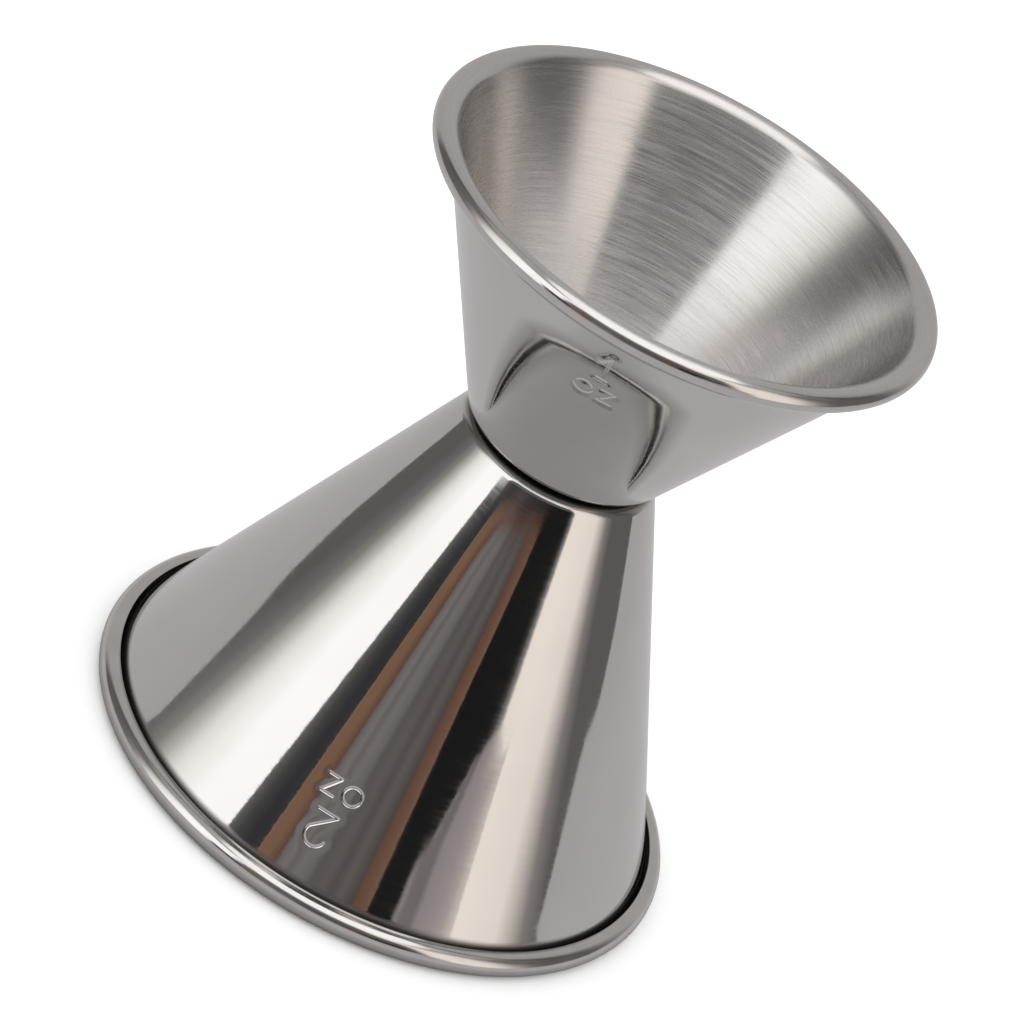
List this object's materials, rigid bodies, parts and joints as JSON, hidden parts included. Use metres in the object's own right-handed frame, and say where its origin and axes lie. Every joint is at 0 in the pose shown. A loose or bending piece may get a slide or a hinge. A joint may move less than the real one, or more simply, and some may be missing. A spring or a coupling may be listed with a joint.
{
  "type": "bar jigger",
  "caption": "Double-ended measuring jigger: two conical drawn steel cups welded floor to floor, each with an outward curled rim.",
  "frame": {"origin": "centre of the large cup's rim, on the surface that the jigger stands on", "axes": "+Z along the common axis of both cups, from the large cup's rim up to the small cup's mouth; -Y towards the capacity marks"},
  "size_m": [0.0636, 0.0636, 0.074],
  "materials": {
    "cup_steel": "mirror polished outside, fine satin turned finish inside",
    "weld_steel": "dull fused steel"
  },
  "bodies": {
    "root": {"large_cup": "cup_steel", "small_cup": "cup_steel", "weld_nugget": "weld_steel"}
  },
  "joints": []
}
